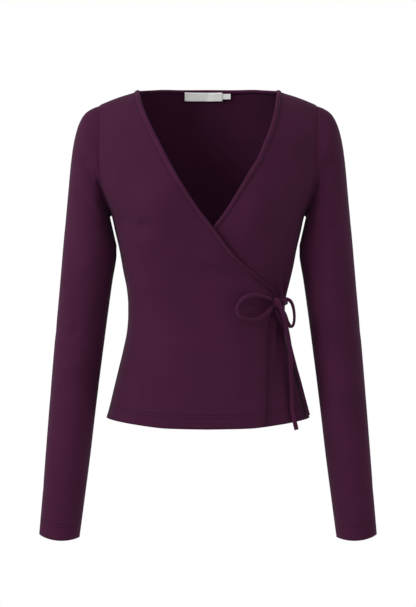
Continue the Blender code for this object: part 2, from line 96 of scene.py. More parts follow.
# Folds, as ridges (proud over 0) or troughs, each along a straight line on the front.
UNDER_FOLDS = {
    "x0": [100, 106, 111.5, 115.5, 99, 106, 112, 117],
    "z0": [-322, -320, -322, -324, -340, -340, -340, -342],
    "x1": [84, 98, 113, 121, 96, 106, 116, 125],
    "z1": [-262, -258, -262, -268, -425, -420, -415, -420],
    "half_wide": [4, 4, 3.5, 3.5, 4, 4, 4, 4],
    "proud": [1.6, -1.8, 1.8, -1.6, 2.2, -2.4, 2.4, -2.0],
}
OVER_FOLDS = {
    "x0": [97, 95], "z0": [-322, -328], "x1": [48, 60], "z1": [-288, -318],
    "half_wide": [5, 4.5], "proud": [1.6, 1.6],
}
SLEEVE_FOLDS = {
    "x0": [200, 207, 203, 210], "z0": [-104, -150, -330, -372], "x1": [156, 158, 186, 196],
    "z1": [-196, -214, -352, -380], "half_wide": [11, 9, 12, 12], "proud": [-3.0, -1.8, -1.6, -1.4],
}

# Sleeve sections from just past the armhole to the cuff: the ends of each section's line in
# front view, half its front-to-back depth and how far forward the arm carries it.
SLEEVE = {
    "outer_x": [
        180, 191.5, 201, 208, 213, 216.5, 220, 224.5,
        229.3, 233.5, 238, 242, 246.6, 251, 255.6, 260.6,
    ],
    "outer_z": [-29, -37, -53, -77, -108, -144, -184, -232, -290, -340, -390, -440, -500, -560, -625, -688],
    "inner_x": [
        152.6, 151.5, 150, 148.3, 146.3, 144.3, 142.4, 142.4,
        148.7, 155.6, 162, 168.2, 175.3, 182.1, 190.3, 198.2,
    ],
    "inner_z": [
        -199, -204, -210, -217, -225.5, -234.5, -244, -258,
        -298, -348, -398, -447, -507, -567, -632, -693,
    ],
    "half_deep": [50, 50, 50, 49.5, 49, 48, 47, 46, 45, 44, 42.5, 41, 38.8, 36.5, 34, 31.5],
    "forward": [2, 2, 2, 2, 2, 2, 3, 4, 6, 8, 11, 14, 18, 22, 27, 32],
}
CUFF_DROP = 5.0  # the cuff's front and back hang this much lower than its sides
ARMHOLE_REACH = 4  # sections over which the sleeve keeps the armhole's own outline

FINE_ROWS, FINE_COLUMNS, SLEEVE_COLUMNS, SLEEVE_ROWS = 190, 110, 120, 220

# The bow. Each stretch of strap is a route of given points, with the way its flat side faces.
STRAP_WIDTH, STRAP_THICK = 7.0, 3.0
KNOT = {"centre": (104.8, -70.6, -332.0), "radii": (7.4, 6.8, 8.0)}
STRAPS = {
    "tie_loop_over": [
        (96.9, -75.2, -327.2, 0, -0.5, 0.9), (80, -89, -321, -0.1, -0.6, 0.8),
        (64, -97, -320.2, -0.3, -0.8, 0.5),
        (50, -99, -328, -0.8, -0.5, 0.2), (43.6, -99, -340, -0.9, -0.5, 0),
        (47.5, -99, -351.5, -0.5, -0.6, -0.6),
        (58.2, -98, -357.4, -0.1, -0.7, -0.7), (71.8, -94, -358, 0.1, -0.8, -0.6),
        (85.7, -86, -350.5, 0.3, -0.8, -0.5),
        (97.6, -76, -338.6, 0.3, -0.9, -0.4),
    ],
    "tie_loop_side": [
        (113.4, -67.5, -329.6, 0.2, -0.8, 0.6), (119.6, -64, -326.3, 0.2, -0.7, 0.7),
        (126.7, -60, -330.1, 0.7, -0.6, 0.4),
        (130.8, -56, -340, 0.9, -0.5, 0.1), (132.4, -53, -353.7, 0.9, -0.4, 0),
        (131, -52, -365, 0.7, -0.4, -0.5),
        (126.6, -53, -368.5, -0.1, -0.5, -0.8), (121.8, -56, -361.5, -0.6, -0.6, -0.4),
        (117.5, -60, -350, -0.6, -0.7, -0.3),
        (111.4, -67, -339.6, -0.6, -0.7, -0.3),
    ],
    "tie_lead_side": [
        (123, -2, -331, 1, -0.1, 0), (122.6, -16, -331, 0.9, -0.4, 0), (120.3, -32, -331.5, 0.9, -0.6, 0),
        (116.8, -48, -333, 0.8, -0.7, 0), (112.9, -60.5, -333.5, 0.7, -0.8, 0),
    ],
    "tie_tail_over": [
        (103.3, -78.2, -325, 0.1, -1, 0.3), (105.6, -79.4, -330, 0.2, -1, 0), (111.6, -78, -341, 0.3, -1, 0),
        (116.6, -73, -355.5, 0.3, -1, 0), (119.6, -68, -370, 0.2, -1, 0), (122.6, -65, -385, 0.2, -1, 0),
        (125.5, -63, -404.5, 0.1, -1, 0), (126.5, -62, -419, 0.2, -1, 0), (127.4, -64, -450, 0.4, -1, 0),
        (128, -73, -490, 0.2, -1, 0), (131, -78, -509, 0.2, -1, 0), (134.6, -78, -525, 0.2, -1, 0),
    ],
    "tie_tail_side": [
        (104.6, -64.5, -343.4, 0.4, -0.9, 0), (110.5, -57, -355, 0.5, -0.8, 0),
        (118.5, -51, -372, 0.6, -0.8, 0),
        (124.5, -47, -392, 0.8, -0.6, 0), (130, -43, -412, 0.9, -0.5, 0), (135.5, -40, -432, 0.9, -0.4, 0),
        (142, -39, -455, 0.9, -0.4, 0), (148.5, -40, -480, 0.9, -0.4, 0), (155, -41, -505, 0.9, -0.4, 0),
    ],
}
LABEL = {"across": -7.0, "top": 4.5, "width": 61.0, "height": 13.0}
SIZE_TAB = {"across": 30.3, "top": 2.5, "width": 12.5, "height": 8.0}
LABEL_DEPTH = 2.4  # how far inside the back the labels lie, clear of the binding
LABEL_WALL = 0.5
LABEL_WAVE = 0.25

# Fine creases, read by folds() as those above are: soft troughs (proud under 0) and ridges.
OVER_CREASES = {
    "x0": [99, 96, 92, 70, -132, -128, -100, -60, -10, 30, -146, -140],
    "z0": [-318, -326, -334, -300, -205, -226, -212, -238, -262, -280, -352, -300],
    "x1": [40, 20, 30, -30, -70, -60, -62, 10, 60, 78, -60, -40],
    "z1": [-270, -300, -340, -268, -222, -250, -232, -262, -292, -306, -340, -316],
    "half_wide": [6, 5, 6, 10, 12, 10, 9, 11, 8, 6, 12, 10],
    "proud": [-1.5, 1.2, -1.2, -0.9, -2.0, 0.9, -1.4, -0.8, 0.9, -1.0, -1.1, 0.8],
}
UNDER_CREASES = {
    "x0": [103, 109, 116, 120, 128, 103, 110, 122, 112, 140, 76],
    "z0": [-318, -322, -316, -325, -322, -345, -350, -345, -210, -300, -205],
    "x1": [70, 92, 112, 128, 142, 92, 104, 134, 78, 128, 110],
    "z1": [-240, -226, -240, -262, -280, -480, -470, -440, -222, -420, -226],
    "half_wide": [5, 3.5, 3.5, 4, 5, 4, 3.5, 5, 11, 10, 10],
    "proud": [-1.3, 1.3, -1.4, 1.2, -1.2, 1.4, -1.5, -1.1, -1.8, -0.9, -0.8],
}
BACK_CREASES = {
    "x0": [-120, 118, -124, 110, -60, 40, -130],
    "z0": [-300, -318, -360, -250, -200, -214, -210],
    "x1": [-20, 26, -50, 40, 24, -44, -80],
    "z1": [-322, -340, -352, -272, -214, -206, -246],
    "half_wide": [12, 10, 11, 9, 12, 10, 10],
    "proud": [-1.9, -1.6, 1.1, -1.3, -1.2, 0.9, -1.6],
}
SLEEVE_CREASES = {
    "x0": [192, 166, 158, 216, 176, 222, 236, 190, 240, 206, 252],
    "z0": [-108, -150, -176, -206, -262, -300, -372, -420, -470, -560, -612],
    "x1": [160, 154, 146, 152, 206, 168, 186, 224, 196, 236, 214],
    "z1": [-156, -200, -240, -234, -288, -322, -396, -446, -486, -572, -634],
    "half_wide": [9, 8, 7, 10, 10, 12, 11, 12, 10, 12, 11],
    "proud": [-3.2, -2.6, -2.4, -1.5, 1.0, -1.5, -1.3, 1.0, -1.2, 0.8, -1.1],
}
CREASE_DEPTH = 1.7  # every crease above is this many times as high or deep
SLEEVE_FRONT_SHARE, SLEEVE_BACK_SHARE = 0.8, 0.6  # of the sleeve creases' depth on each face
SLEEVE_BACK_SHIFT = (6.0, 31.0)  # across and up, from a front crease to the hidden one like it

HEM_STITCHES = 17.0  # the lower of the hem's two rows of stitches above its edge
CUFF_STITCHES = 20.0
STITCH_ROWS_APART = 4.5
NECK_STITCHES = 9.0
STITCH_LENGTH = 3.0
STITCH_HALF_WIDE = 0.9
WALE, COURSE = 0.9, 0.8  # the knit's columns and rows
NO_NECK_EDGE = 99.0  # an edge distance on cloth that has no neck stitches
UNDER_BINDING_SHORT = 40.0  # how much higher the under front's binding stops, out of sight
ABOVE_KNOT = 4.0
BACK_BINDING_ROWS = 12  # rows of the back's grid that reach past its binding
TOP_SHARE = 1.1  # sets the rows a little closer at the shoulder

# The camera and the floor, in metres, with the lens in millimetres.
EYE = {"away": 3.0, "height": -0.333, "lens": 114.0, "sensor": 36.0}
FLOOR = {"half": 2.5, "height": -1.45}
SQUARE = ((-1, -1), (1, -1), (1, 1), (-1, 1))


def read(table, key, column, at):
    """A table's column read smoothly at any key: a cubic through its rows that never overshoots."""
    known, values = np.array(table[key], float), np.array(table[column], float)
    at = np.clip(np.asarray(at, float), known[0], known[-1])
    gap = np.diff(known)
    rise = np.diff(values) / gap
    slope = np.concatenate([rise[:1], np.zeros(len(known) - 2), rise[-1:]])
    same_way = rise[:-1] * rise[1:] > 0
    mean = 2 * rise[:-1] * rise[1:] / np.where(same_way, rise[:-1] + rise[1:], 1)
    slope[1:-1] = np.where(same_way, mean, 0)
    i = np.clip(np.searchsorted(known, at, side="right") - 1, 0, len(gap) - 1)
    t = (at - known[i]) / gap[i]
    low = (1 + 2 * t) * (1 - t) ** 2 * values[i] + t * (1 - t) ** 2 * gap[i] * slope[i]
    high = t**2 * (3 - 2 * t) * values[i + 1] + t**2 * (t - 1) * gap[i] * slope[i + 1]
    return low + high


def ease(value, start, end):
    """0 before start, 1 after end, smooth between."""
    t = np.clip((value - start) / (end - start), 0, 1)
    return t * t * (3 - 2 * t)


def folds(table, x, z):
    """How far a table's folds lift the cloth at a point in front view."""
    lift = np.zeros_like(x)
    for i in range(len(table["x0"])):
        start = np.array([table["x0"][i], table["z0"][i]], float)
        run = np.array([table["x1"][i], table["z1"][i]], float) - start
        length = np.hypot(*run)
        along = ((x - start[0]) * run[0] + (z - start[1]) * run[1]) / length**2
        off = ((x - start[0]) * run[1] - (z - start[1]) * run[0]) / length
        fade = ease(along, -0.15, 0.1) * (1 - ease(along, 0.45, 1.1))
        lift = lift + table["proud"][i] * fade * np.exp(-((off / table["half_wide"][i]) ** 2))
    return lift


def half_width(x, z):
    pull = WAIST_PULL["in"] * np.exp(-(((z - WAIST_PULL["height"]) / WAIST_PULL["reach"]) ** 2))
    return read(BODY, "height", "half_width", z) - pull * ease(x, 0, 80)


def depth(side, x, z):
    """How far the body stands out from the plane of the side seams."""
    ratio = np.clip(np.abs(x) / half_width(x, z), 0, 1)
    round_off = (1 - ratio**ROUNDNESS) ** (1 / ROUNDNESS)
    fall = np.clip((read(SHOULDER, "across", "height", np.abs(x)) - z) / CAP[side], 0, 1)
    deep = read(BODY, "height", "front" if side == FRONT else "back", z)
    if side == FRONT:
        off = (np.abs(x) - BUST["across"]) / BUST["half_wide"], (z - BUST["height"]) / BUST["half_high"]
        deep = deep + BUST["proud"] * np.exp(-off[0] ** 2 - off[1] ** 2)
    return deep * round_off * np.sqrt(1 - (1 - fall) ** 2)


def torso(side, angle, drop):
    """A point of the body: angle is from the centre round to a side seam, at 90 degrees either way,
    and drop is 0 on the shoulder ridge and 1 at the hem."""
    x = np.zeros(np.broadcast(angle, drop).shape)
    for _ in range(8):
        top = read(SHOULDER, "across", "height", np.abs(x))
        z = top + (read(HEM, "across", "height", np.abs(x)) - top) * drop
        x = half_width(x, z) * np.sin(angle)
    return np.stack([x, side * (SEAM / 2 + depth(side, x, z)), z], -1)


def outward(side, angle, drop):
    step, edge = 1e-3, math.pi / 2 - 0.03
    angle, drop = np.clip(angle, -edge, edge), np.clip(drop, step, 1)
    round_way = torso(side, angle + step, drop) - torso(side, angle - step, drop)
    down = torso(side, angle, drop) - torso(side, angle, drop - step)
    normal = np.cross(round_way, down) * side
    return normal / np.linalg.norm(normal, axis=-1, keepdims=True)


def place(x, z):
    """The (angle, drop) of a point in front view."""
    top = read(SHOULDER, "across", "height", np.abs(x))
    drop = (top - z) / (top - read(HEM, "across", "height", np.abs(x)))
    return np.arcsin(np.clip(x / half_width(x, z), -1, 1)), drop


def line_angles(table, rows, sign=1):
    """The angle, at each row's drop, of a line given as distance from the centre against height."""
    z = np.linspace(table["height"][0], table["height"][-1], 600)
    x = sign * read(table, "height", "across", z)
    angle, drop = place(x, z)
    order = np.argsort(drop)
    return np.interp(rows, drop[order], angle[order])


def side_angles(rows, sign):
    """The angle of a panel's outer edge: the armhole down to its foot, then the side seam."""
    foot = place(ARMHOLE["across"][0], ARMHOLE["height"][0])[1]
    return np.where(rows < foot - 1e-6, line_angles(ARMHOLE, rows, sign), sign * math.pi / 2)


def spread(points, shares, keep=0.0):
    """Points along a polyline at shares of its length, the last stretch of length keep left whole."""
    run = np.concatenate([[0], np.cumsum(np.linalg.norm(np.diff(points, axis=0), axis=1))])
    places = np.array(shares) * (run[-1] - keep)
    if keep:
        places = np.append(places, run[-1])
    return np.stack([np.interp(places, run, points[:, i]) for i in range(points.shape[1])], 1)


def over_lift(angle, point):
    clear_of_seam = ease(angle, -math.radians(80), -math.radians(50))
    layer = LAYER * clear_of_seam * (1 - ease(point[..., 2], -175, -70))
    return layer + folds(OVER_FOLDS, point[..., 0], point[..., 2])


def under_lift(angle, point):
    clear_of_seam = 1 - ease(angle, math.radians(80), math.radians(90))
    return clear_of_seam * folds(UNDER_FOLDS, point[..., 0], point[..., 2])


def armhole_loop(sign, count):
    """The armhole from its top, round the front, the foot and the back: count points."""
    fine = np.linspace(ARMHOLE["height"][-1], ARMHOLE["height"][0], 200)
    rim = []
    for side in (FRONT, BACK):
        x = read(ARMHOLE, "height", "across", fine)
        rim.append(np.stack([x, side * (SEAM / 2 + depth(side, x, fine)), fine], 1))
    half = count // 2
    front = spread(rim[0], np.arange(half + 1) / half)
    back = spread(rim[1], np.arange(half + 1) / half)
    front[0, 1] = front[-1, 1] = 0
    loop = np.concatenate([front, back[-2:0:-1]])
    loop[:, 0] -= SEAM * 2  # sewn on: the sleeve starts just inside the panels' edges
    return loop * [sign, 1, 1]


class Value:
    """A shader number: arithmetic on it adds Math nodes."""

    def __init__(self, shade, socket):
        self.shade, self.socket = shade, socket

    def math(self, operation, *others, flipped=False):
        terms = [*others, self] if flipped else [self, *others]
        return self.shade.node("ShaderNodeMath", {"operation": operation}, dict(enumerate(terms)))

    def __add__(self, other):
        return self.math("ADD", other)

    def __radd__(self, other):
        return self.math("ADD", other)

    def __sub__(self, other):
        return self.math("SUBTRACT", other)

    def __rsub__(self, other):
        return self.math("SUBTRACT", other, flipped=True)

    def __mul__(self, other):
        return self.math("MULTIPLY", other)

    def __rmul__(self, other):
        return self.math("MULTIPLY", other)

    def __truediv__(self, other):
        return self.math("DIVIDE", other)

    def __rtruediv__(self, other):
        return self.math("DIVIDE", other, flipped=True)

    def sin(self):
        return self.math("SINE")

    def line(self, at, half_wide):
        """1 on a line at this value, falling to 0 half_wide away."""
        return (1 - (self - at).math("ABSOLUTE") / half_wide).math("MAXIMUM", 0)


class Shade:
    """A material's nodes."""

    def __init__(self, name):
        self.made = bpy.data.materials.new(name)
        self.made.use_nodes = True
        self.tree = self.made.node_tree
        self.shader = self.tree.nodes["Principled BSDF"]

    def node(self, kind, settings, values, output=0):
        made = self.tree.nodes.new(kind)
        for key, value in settings.items():
            setattr(made, key, value)
        for key, value in values.items():
            self.put(made.inputs[key], value)
        return Value(self, made.outputs[output])

    def put(self, socket, value):
        if isinstance(value, Value):
            self.tree.links.new(value.socket, socket)
        else:
            socket.default_value = value

    def set(self, **values):
        for key, value in values.items():
            self.put(self.shader.inputs[key.replace("_", " ")], value)


def jersey(name, dark, light, hem=0.0, edge=0.0, rib=1.0):
    """Fine plum jersey, with stitch rows this many millimetres from the hem and from the neck edge."""
    shade = Shade(name)
    flat = shade.node("ShaderNodeUVMap", {"uv_map": "cloth"}, {})
    parts = shade.node("ShaderNodeSeparateXYZ", {}, {0: flat})
    across = parts * (1 / MM)
    up = Value(shade, parts.socket.node.outputs[1]) * (1 / MM)
    from_edge = shade.node("ShaderNodeUVMap", {"uv_map": "edge"}, {})
    side = shade.node("ShaderNodeSeparateXYZ", {}, {0: from_edge}) * (1 / MM)
    wales = (across * (2 * math.pi / WALE)).sin() * 0.5
    courses = (up * (2 * math.pi / COURSE)).sin() * 0.25
    place = shade.node("ShaderNodeTexCoord", {}, {}, "Object")
    cloudy = shade.node("ShaderNodeTexNoise", {}, {"Vector": place, "Scale": 14.0, "Detail": 3.0})
    fuzz = shade.node("ShaderNodeTexNoise", {}, {"Vector": place, "Scale": 900.0, "Detail": 2.0})
    stitches = None
    rows = [(up, hem), (up, hem + STITCH_ROWS_APART)] if hem else []
    rows += [(side, edge)] if edge else []
    for value, at in rows:
        run = across if value is up else up
        dash = ((run * (2 * math.pi / STITCH_LENGTH)).sin() + 1.6).math("MINIMUM", 1.0)
        row = value.line(at, STITCH_HALF_WIDE) * dash
        stitches = row if stitches is None else stitches + row
    mix = cloudy * 0.7 + fuzz * 0.3 + wales * (0.12 * rib)
    if stitches is not None:
        mix = mix - stitches * 0.55
    color = shade.node("ShaderNodeMix", {"data_type": "RGBA"}, {0: mix, 6: (*dark, 1), 7: (*light, 1)}, 2)
    relief = (wales + courses) * (0.06 * rib) + fuzz * 0.05
    if stitches is not None:
        relief = relief - stitches * 0.7
    bump = shade.node("ShaderNodeBump", {}, {"Strength": 0.55, "Distance": 0.0009, "Height": relief})
    shade.set(Base_Color=color, Roughness=0.78 + fuzz * 0.1, Normal=bump, Specular_IOR_Level=0.06)
    shade.set(Sheen_Weight=0.04, Sheen_Roughness=0.45, Sheen_Tint=(0.75, 0.5, 0.72, 1))
    return shade.made


def woven_white(name):
    shade = Shade(name)
    place = shade.node("ShaderNodeTexCoord", {}, {}, "Object")
    weave = shade.node("ShaderNodeTexNoise", {}, {"Vector": place, "Scale": 1500.0, "Detail": 2.0})
    tones = {0: weave, 6: (0.70, 0.70, 0.68, 1), 7: (0.88, 0.88, 0.86, 1)}
    color = shade.node("ShaderNodeMix", {"data_type": "RGBA"}, tones, 2)
    bump = shade.node("ShaderNodeBump", {}, {"Strength": 0.3, "Distance": 0.0003, "Height": weave})
    shade.set(Base_Color=color, Roughness=0.6, Normal=bump)
    return shade.made


def mesh_object(name, points, faces, made_of, maps=None):
    mesh = bpy.data.meshes.new(name)
    mesh.from_pydata([tuple(p) for p in np.asarray(points) * MM], [], faces)
    mesh.materials.append(made_of)
    corner = np.empty(len(mesh.loops), int)
    mesh.loops.foreach_get("vertex_index", corner)
    for map_name in ("cloth", "edge"):
        layer = mesh.uv_layers.new(name=map_name)
        flat = (maps or {}).get(map_name)
        if flat is None:
            flat = np.asarray(points)[:, [0, 2]]
        layer.data.foreach_set("uv", (np.asarray(flat)[corner] * MM).ravel())
    mesh.shade_smooth()
    obj = bpy.data.objects.new(name, mesh)
    bpy.context.scene.collection.objects.link(obj)
    return obj


def run_along(points):
    """The distance of each of a line's points from its first."""
    steps = np.linalg.norm(np.diff(points, axis=0), axis=-1)
    return np.concatenate([np.zeros((1, *steps.shape[1:])), np.cumsum(steps, 0)])


def along_rows(grid):
    return run_along(grid.swapaxes(0, 1)).T


def above_hem(grid):
    return grid[..., 2] - read(HEM, "across", "height", np.abs(grid[..., 0]))


def cloth(name, grid, made_of, flip=False, closed=False, wall=WALL, maps=None):
    """A grid of points as a wall of cloth that grows outward from them."""
    rows, columns = grid.shape[:2]
    faces = []
    for i in range(rows - 1):
        for j in range(columns if closed else columns - 1):
            after = (j + 1) % columns
            quad = [i * columns + j, (i + 1) * columns + j, (i + 1) * columns + after, i * columns + after]
            faces.append(quad[::-1] if flip else quad)
    flat = {key: value.reshape(-1, 2) for key, value in (maps or {}).items()}
    obj = mesh_object(name, grid.reshape(-1, 3), faces, made_of, flat)
    solid = obj.modifiers.new("wall", "SOLIDIFY")
    solid.thickness, solid.offset = wall * MM, 1
    return obj


def swept(name, sections, made_of, flip=False):
    count, around = sections.shape[:2]
    if flip:
        sections = sections[::-1]
    faces = [
        (i + j, i + (j + 1) % around, i + around + (j + 1) % around, i + around + j)
        for i in range(0, (count - 1) * around, around)
        for j in range(around)
    ]
    faces += [tuple(range(around))[::-1], tuple((count - 1) * around + j for j in range(around))]
    points = sections.reshape(-1, 3)
    run = run_along(sections[:, 0])
    flat = np.stack([np.tile(np.arange(around) * 1.2, count), np.repeat(run, around)], 1)
    return mesh_object(name, points, faces, made_of, {"cloth": flat, "edge": flat})


def done(obj, slot, *nodes):
    """Makes a piece ride on the garment's body and stand for its nodes, which it hides; slot is not used."""
    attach(obj, "root")
    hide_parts(*nodes)
    return obj


def spread_to(points, distance):
    """The point that lies this far along a line of points."""
    run = run_along(points)
    return [np.interp(distance, run, points[:, i]) for i in range(3)]


def over_lift_fine(angle, point):
    clear = ease(angle, -math.radians(84), -math.radians(60))
    creases = folds(OVER_CREASES, point[..., 0], point[..., 2])
    return over_lift(angle, point) + CREASE_DEPTH * clear * creases


def under_lift_fine(angle, point):
    clear = 1 - ease(angle, math.radians(78), math.radians(90))
    creases = folds(UNDER_CREASES, point[..., 0], point[..., 2])
    return under_lift(angle, point) + CREASE_DEPTH * clear * creases


def front_grid(edge, sign, lift):
    rows = np.linspace(0, 1, FINE_ROWS) ** TOP_SHARE
    start, end = side_angles(rows, sign), line_angles(edge, rows)
    angle = start[:, None] + (end - start)[:, None] * np.linspace(0, 1, FINE_COLUMNS)
    drop = np.broadcast_to(rows[:, None], angle.shape)
    point = torso(FRONT, angle, drop)
    point = point + outward(FRONT, angle, drop) * lift(angle, point)[..., None]
    return np.array([spread(row, np.linspace(0, 1, FINE_COLUMNS), BINDING) for row in point])


def back_grid():
    rows = np.linspace(0, 1, FINE_ROWS) ** TOP_SHARE
    side = side_angles(rows, 1)
    neck = place(BACK_NECK["across"][-1], BACK_NECK["height"][-1])[0] / side[0]
    half = np.concatenate([np.linspace(0, neck, 40), np.linspace(neck, 1, 24)[1:]])
    shares = np.concatenate([-half[:0:-1], half])
    top = np.zeros(len(shares))
    inside = np.abs(shares) < neck - 1e-9
    for _ in range(8):
        at = torso(BACK, shares * np.interp(top, rows, side), top)
        top = np.where(inside, place(at[:, 0], read(BACK_NECK, "across", "height", np.abs(at[:, 0])))[1], 0)
    drop = top + (1 - top) * rows[:, None]
    angle = shares * np.interp(drop, rows, side)
    point = torso(BACK, angle, drop)
    clear_of_seam = (1 - ease(np.abs(angle), math.radians(70), math.radians(88)))[..., None]
    lift = CREASE_DEPTH * folds(BACK_CREASES, point[..., 0], point[..., 2])[..., None]
    at_neck = np.flatnonzero(np.abs(shares) <= neck + 1e-9)
    return point + outward(BACK, angle, drop) * lift * clear_of_seam, at_neck


def grid_out(grid, flip):
    down, across = np.gradient(grid, axis=0), np.gradient(grid, axis=1)
    out = np.cross(down, across) * (-1 if flip else 1)
    return out / np.maximum(np.linalg.norm(out, axis=-1, keepdims=True), 1e-9)


def rolled_binding(name, edge, inner, edge_out, inner_out, made_of, flip=False):
    """A soft folded strip over a panel's edge, with small puckers where it is sewn."""
    into = inner - edge
    wide = np.linalg.norm(into, axis=1, keepdims=True)
    into = into / wide
    run = run_along(edge)[:, None]
    pucker = 0.12 * np.sin(run * 0.62) + 0.1 * np.sin(run * 0.37 + 1)
    near, far = WALL + 0.45, WALL + 1.5
    profile = [
        (1, near + 0.25), (0.75, far), (0.4, far + 0.35), (0.05, far - 0.1), (-0.2, WALL * 0.5),
        (0, -1.2), (0.4, -1.6), (1, -1.0), (1, -0.45), (0.05, -0.45), (-0.07, WALL * 0.5),
        (0.05, near), (0.9, near),
    ]
    sections = []
    for share, high in profile:
        out = edge_out + (inner_out - edge_out) * max(share, 0)
        puckered = 0.2 < share < 0.9 and high > far - 0.2
        sections.append(edge + into * wide * share + out * (high + (pucker if puckered else 0)))
    return swept(name, np.stack(sections, 1), made_of, flip)


def fine_sleeve(sign):
    count = SLEEVE_COLUMNS
    turn = np.arange(count) * 2 * math.pi / count
    first = armhole_loop(sign, count)
    top, foot = first[0], first[count // 2]
    start = (top[0] * sign, top[2], foot[0] * sign, foot[2], (first[:, 1].max() - first[:, 1].min()) / 2, 0)
    columns = ("outer_x", "outer_z", "inner_x", "inner_z", "half_deep", "forward")
    table = {name: [at, *SLEEVE[name]] for name, at in zip(columns, start)}
    last = len(SLEEVE["outer_x"])
    table["k"] = list(range(last + 1))
    grid = []
    for k in np.linspace(0, last, SLEEVE_ROWS):
        row = [float(read(table, "k", name, k)) for name in columns]
        outer_x, outer_z, inner_x, inner_z, half_deep, forward = row
        middle = np.array([(outer_x + inner_x) / 2, -forward, (outer_z + inner_z) / 2])
        half_line = np.array([(outer_x - inner_x) / 2, 0, (outer_z - inner_z) / 2])
        ring = middle + np.cos(turn)[:, None] * half_line
        ring[:, 1] -= half_deep * np.sin(turn)
        ring[:, 2] -= CUFF_DROP * ease(k, last - 3, last) * np.sin(turn) ** 2
        if k == 0:
            keep = first * [sign, 1, 1] - ring
        ring = ring + keep * (1 - ease(k, 0, ARMHOLE_REACH))
        out = np.cos(turn)[:, None] * half_line
        out[:, 1] = -half_deep * np.sin(turn)
        out /= np.linalg.norm(out, axis=1, keepdims=True)
        front_only = ease(np.sin(turn), -0.2, 0.4)
        behind = ease(-np.sin(turn), -0.1, 0.5)
        lift = folds(SLEEVE_FOLDS, ring[:, 0], ring[:, 2]) * front_only
        creases = folds(SLEEVE_CREASES, ring[:, 0], ring[:, 2])
        lift += creases * (SLEEVE_FRONT_SHARE * CREASE_DEPTH * front_only)
        across, up = SLEEVE_BACK_SHIFT
        creases = folds(SLEEVE_CREASES, ring[:, 0] + across, ring[:, 2] + up)
        lift += creases * (SLEEVE_BACK_SHARE * CREASE_DEPTH * behind)
        ring += out * (lift * ease(k, 0.3, 2))[:, None]
        grid.append(ring * [sign, 1, 1])
    return np.array(grid)


def smooth_route(route, step):
    """A strap's listed points joined by one smooth curve, read every step, and its length."""
    points = np.array(route, float)
    ends = np.concatenate([[2 * points[0] - points[1]], points, [2 * points[-1] - points[-2]]])
    t = np.linspace(0, 1, 12, endpoint=False)[:, None]
    fine = []
    for a, b, c, d in zip(ends, ends[1:], ends[2:], ends[3:]):
        bend = (2 * a - 5 * b + 4 * c - d) * t**2 + (3 * b - a - 3 * c + d) * t**3
        fine.append(0.5 * (2 * b + (c - a) * t + bend))
    fine = np.concatenate([*fine, points[-1:]])
    run = run_along(fine[:, :3])
    at = np.linspace(0, run[-1], max(4, round(run[-1] / step)) + 1)
    return np.stack([np.interp(at, run, fine[:, i]) for i in range(6)], 1), run[-1]


def strap(name, route, made_of):
    """A folded tie strap: flat, with rounded edges and a faint groove down the middle of each face."""
    points, long = smooth_route(route, 2.0)
    middle, facing = points[:, :3], points[:, 3:]
    along = np.gradient(middle, axis=0)
    across = np.cross(along, facing)
    across /= np.linalg.norm(across, axis=1, keepdims=True)
    facing = np.cross(across, along)
    facing /= np.linalg.norm(facing, axis=1, keepdims=True)
    face = [(-0.92, 0.7), (-0.6, 1), (0, 0.8), (0.6, 1), (0.92, 0.7)]
    section = [(-1, 0), *face, (1, 0), *((w, -t) for w, t in face[::-1])]
    wide, thick = STRAP_WIDTH / 2, STRAP_THICK / 2
    sections = [middle + across * (w * wide) + facing * (t * thick) for w, t in section]
    return swept(name, np.stack(sections, 1), made_of, True), middle, long


def knot(made_of):
    """The bow's knot: a small squashed wrap of the strap, with grooves between its turns."""
    rows, columns = 48, 64
    up = np.linspace(-1, 1, rows)[:, None] * (math.pi / 2 - 0.02)
    turn = np.arange(columns) * 2 * math.pi / columns
    ball = np.stack(np.broadcast_arrays(np.cos(up) * np.cos(turn), np.cos(up) * np.sin(turn), np.sin(up)), -1)
    lean = ball[..., 0] * 0.45 + ball[..., 2]
    groove = np.exp(-(((lean - 0.42) / 0.1) ** 2)) + np.exp(-(((lean + 0.4) / 0.1) ** 2))
    ball = ball * (1 - 0.1 * groove)[..., None]
    grid = ball * KNOT["radii"] + KNOT["centre"]
    flat = np.stack([grid[..., 0], grid[..., 2]], -1)
    maps = {"cloth": flat, "edge": flat}
    return cloth("wrapped_knot", grid, made_of, flip=True, closed=True, wall=0.1, maps=maps)


def label(name, place_at, made_of):
    """A plain woven label on the inside of the back, slightly waved below its sewn top."""
    x = place_at["across"] + place_at["width"] * np.linspace(-0.5, 0.5, 40)
    z = place_at["top"] - place_at["height"] * np.linspace(0, 1, 14)
    x, z = np.meshgrid(x, z)
    angle, drop = place(x, z)
    wave = LABEL_WAVE * np.sin(x * 0.21 + 0.6) * ease(place_at["top"] - z, 2, place_at["height"])
    inside = torso(BACK, angle, drop) - outward(BACK, angle, drop) * (LABEL_DEPTH + wave)[..., None]
    return cloth(name, inside, made_of, wall=LABEL_WALL)


class WRAPTOP_colors(bpy.types.PropertyGroup):
    """The jersey's two tones"""

    light: bpy.props.FloatVectorProperty(
        name="Light plum", description="The jersey where it is lightest",
        subtype="COLOR", default=(0.044, 0.0074, 0.028),
    )
    dark: bpy.props.FloatVectorProperty(
        name="Dark plum", description="The jersey where it is darkest",
        subtype="COLOR", default=(0.022, 0.0040, 0.0135),
    )


class WRAPTOP_lights(bpy.types.PropertyGroup):
    """The strengths of the lights"""

    key: bpy.props.FloatProperty(
        name="Key light", description="Power of the large light at the upper left", default=85.0, unit="POWER"
    )
    fill: bpy.props.FloatProperty(
        name="Fill light", description="Power of the fill at the right", default=3.0, unit="POWER"
    )
    sky: bpy.props.FloatProperty(
        name="Sky", description="Strength of the white surroundings", default=1.0
    )


